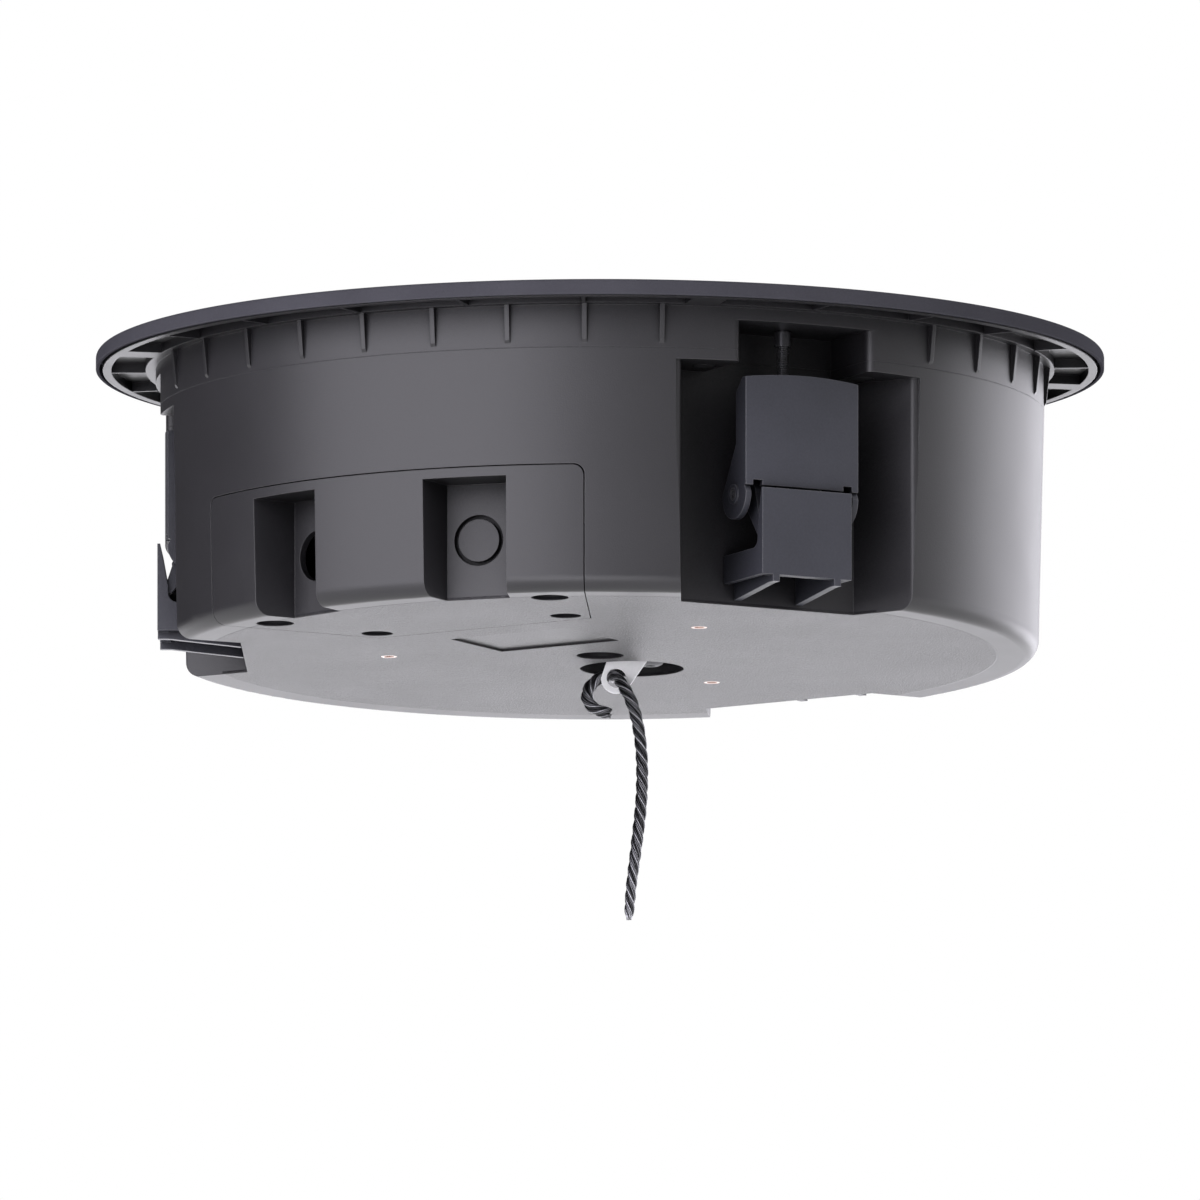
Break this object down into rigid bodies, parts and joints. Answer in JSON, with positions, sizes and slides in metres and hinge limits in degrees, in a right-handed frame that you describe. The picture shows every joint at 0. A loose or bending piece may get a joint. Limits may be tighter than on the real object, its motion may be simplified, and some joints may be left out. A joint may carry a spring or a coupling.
{
  "type": "ceiling loudspeaker",
  "caption": "Round flush-mount ceiling loudspeaker with a grille, a deep moulded back can, screw-driven panel clamps, a terminal cover and a safety rope.",
  "frame": {"origin": "on the axis, in the plane of the flange underside that lies against the panel", "axes": "+Z out of the front grille; -Y through the middle of the terminal cover"},
  "size_m": [0.32, 0.32, 0.1792],
  "materials": {
    "body_plastic": "fine moulded texture, dark charcoal",
    "grille_steel": "matt powder coat, dark grey",
    "clamp_plastic": "smooth moulding, blue-grey",
    "steel": "zinc plated",
    "brass": "knurled inserts",
    "strap_white": "white coated bracket",
    "rope_wire": "stranded wire rope",
    "basket_paint": "black coated steel",
    "rubber": "black",
    "cone_paper": "pressed fibre",
    "copper": "enamelled copper",
    "ferrite": "sintered",
    "magnet_nickel": "nickel plated",
    "tweeter_plastic": "moulded",
    "tweeter_silk": "coated silk",
    "board": "laminate",
    "capacitor_sleeve": "sleeve",
    "terminal_plastic": "moulded"
  },
  "bodies": {
    "housing": {"mounting_frame": "body_plastic", "back_can": "body_plastic", "terminal_cover": "body_plastic", "blanking_plug": "body_plastic", "grille": "grille_steel", "can_screws": "steel", "cover_screws": "steel", "anchor_screw": "steel", "driver_screws": "steel", "top_plate": "steel", "pole_piece": "steel", "tweeter_post": "steel", "threaded_inserts": "brass", "rope_anchor": "strap_white", "safety_rope": "rope_wire", "driver_basket": "basket_paint", "driver_gasket": "rubber", "surround": "rubber", "spider": "cone_paper", "crossover_inductor": "copper", "magnet_ring": "ferrite", "grille_magnets": "magnet_nickel", "tweeter_cup": "tweeter_plastic", "tweeter_dome": "tweeter_silk", "crossover_board": "board", "crossover_capacitors": "capacitor_sleeve", "terminal_block": "terminal_plastic"},
    "screw_1": {"clamp_screw_1": "steel", "screw_collar_1": "steel"},
    "carriage_1": {"clamp_carriage_1": "clamp_plastic", "clamp_nut_1": "steel", "pivot_pin_1": "steel", "clamp_spring_1": "steel"},
    "foot_1": {"clamp_foot_1": "clamp_plastic"},
    "screw_2": {"clamp_screw_2": "steel", "screw_collar_2": "steel"},
    "carriage_2": {"clamp_carriage_2": "clamp_plastic", "clamp_nut_2": "steel", "pivot_pin_2": "steel", "clamp_spring_2": "steel"},
    "foot_2": {"clamp_foot_2": "clamp_plastic"},
    "screw_3": {"clamp_screw_3": "steel", "screw_collar_3": "steel"},
    "carriage_3": {"clamp_carriage_3": "clamp_plastic", "clamp_nut_3": "steel", "pivot_pin_3": "steel", "clamp_spring_3": "steel"},
    "foot_3": {"clamp_foot_3": "clamp_plastic"},
    "cone": {"cone": "cone_paper", "voice_coil": "copper"}
  },
  "joints": [
    {"name": "screw_1_turn", "type": "hinge", "parent": "housing", "child": "screw_1", "pos_m": [0.10695, -0.06175, 0], "axis": [0, 0, -1], "range_deg": [0, 7971.6]},
    {"name": "carriage_1_slide", "type": "slide", "parent": "housing", "child": "carriage_1", "axis": [0, 0, 1], "range_m": [0, 0.0155]},
    {"name": "foot_1_tilt", "type": "hinge", "parent": "carriage_1", "child": "foot_1", "pos_m": [0.11137, -0.0643, -0.0584], "axis": [0.5, 0.866, 0], "range_deg": [0, 15]},
    {"name": "screw_2_turn", "type": "hinge", "parent": "housing", "child": "screw_2", "pos_m": [0, 0.1235, 0], "axis": [0, 0, -1], "range_deg": [0, 7971.6]},
    {"name": "carriage_2_slide", "type": "slide", "parent": "housing", "child": "carriage_2", "axis": [0, 0, 1], "range_m": [0, 0.0155]},
    {"name": "foot_2_tilt", "type": "hinge", "parent": "carriage_2", "child": "foot_2", "pos_m": [0, 0.1286, -0.0584], "axis": [-1, 0, 0], "range_deg": [0, 15]},
    {"name": "screw_3_turn", "type": "hinge", "parent": "housing", "child": "screw_3", "pos_m": [-0.10695, -0.06175, 0], "axis": [0, 0, -1], "range_deg": [0, 7971.6]},
    {"name": "carriage_3_slide", "type": "slide", "parent": "housing", "child": "carriage_3", "axis": [0, 0, 1], "range_m": [0, 0.0155]},
    {"name": "foot_3_tilt", "type": "hinge", "parent": "carriage_3", "child": "foot_3", "pos_m": [-0.11137, -0.0643, -0.0584], "axis": [0.5, -0.866, 0], "range_deg": [0, 15]},
    {"name": "cone_stroke", "type": "slide", "parent": "housing", "child": "cone", "axis": [0, 0, 1], "range_m": [-0.004, 0.004], "stiffness_N_per_m": 1200, "deforming": ["surround", "spider"]}
  ],
  "couplings": [
    {"joint": "screw_1_turn", "follows": "carriage_1_slide", "rad_per_m": 8976},
    {"joint": "screw_2_turn", "follows": "carriage_2_slide", "rad_per_m": 8976},
    {"joint": "screw_3_turn", "follows": "carriage_3_slide", "rad_per_m": 8976}
  ]
}
